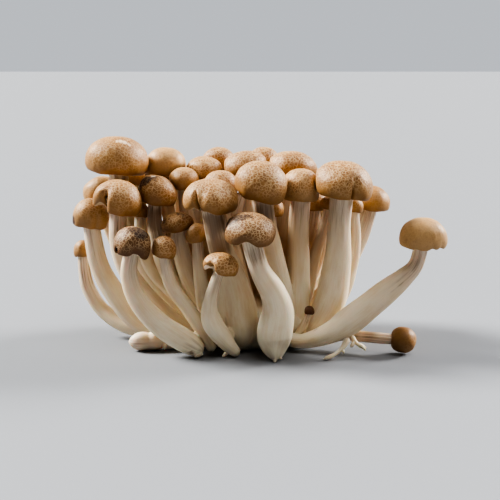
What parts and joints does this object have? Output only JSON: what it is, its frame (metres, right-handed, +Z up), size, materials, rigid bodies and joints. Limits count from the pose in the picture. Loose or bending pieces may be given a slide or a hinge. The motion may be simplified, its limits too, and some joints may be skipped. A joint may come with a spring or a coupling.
{
  "type": "beech mushroom cluster",
  "caption": "Cluster of brown beech mushrooms with round speckled caps on long curved cream stems, grown together at one base that is cut flat.",
  "frame": {"origin": "middle of the flat cut face under the base, on the surface that the cluster stands on", "axes": "+Z up, +X to the right as seen from the front, where the tallest splayed mushroom lies, +Y to the back"},
  "size_m": [0.1473, 0.1003, 0.0821],
  "materials": {
    "stem_flesh": "matte, finely fibrous",
    "cap_skin": "satin, marbled with fine pale lines"
  },
  "bodies": {
    "root": {"stems_and_base": "stem_flesh", "cap_01": "cap_skin", "cap_02": "cap_skin", "cap_03": "cap_skin", "cap_04": "cap_skin", "cap_05": "cap_skin", "cap_06": "cap_skin", "cap_07": "cap_skin", "cap_08": "cap_skin", "cap_09": "cap_skin", "cap_10": "cap_skin", "cap_11": "cap_skin", "cap_12": "cap_skin", "cap_13": "cap_skin", "cap_14": "cap_skin", "cap_15": "cap_skin", "cap_16": "cap_skin", "cap_17": "cap_skin", "cap_18": "cap_skin", "cap_19": "cap_skin", "cap_20": "cap_skin", "cap_21": "cap_skin", "cap_22": "cap_skin", "cap_23": "cap_skin", "cap_24": "cap_skin", "cap_25": "cap_skin", "cap_26": "cap_skin", "cap_27": "cap_skin", "cap_28": "cap_skin", "cap_29": "cap_skin", "cap_30": "cap_skin", "cap_31": "cap_skin", "cap_32": "cap_skin", "cap_33": "cap_skin", "cap_34": "cap_skin", "cap_35": "cap_skin", "cap_36": "cap_skin", "cap_37": "cap_skin", "cap_38": "cap_skin", "cap_39": "cap_skin", "cap_40": "cap_skin", "cap_41": "cap_skin", "cap_42": "cap_skin", "cap_43": "cap_skin", "cap_44": "cap_skin", "cap_45": "cap_skin", "cap_46": "cap_skin"}
  },
  "joints": []
}
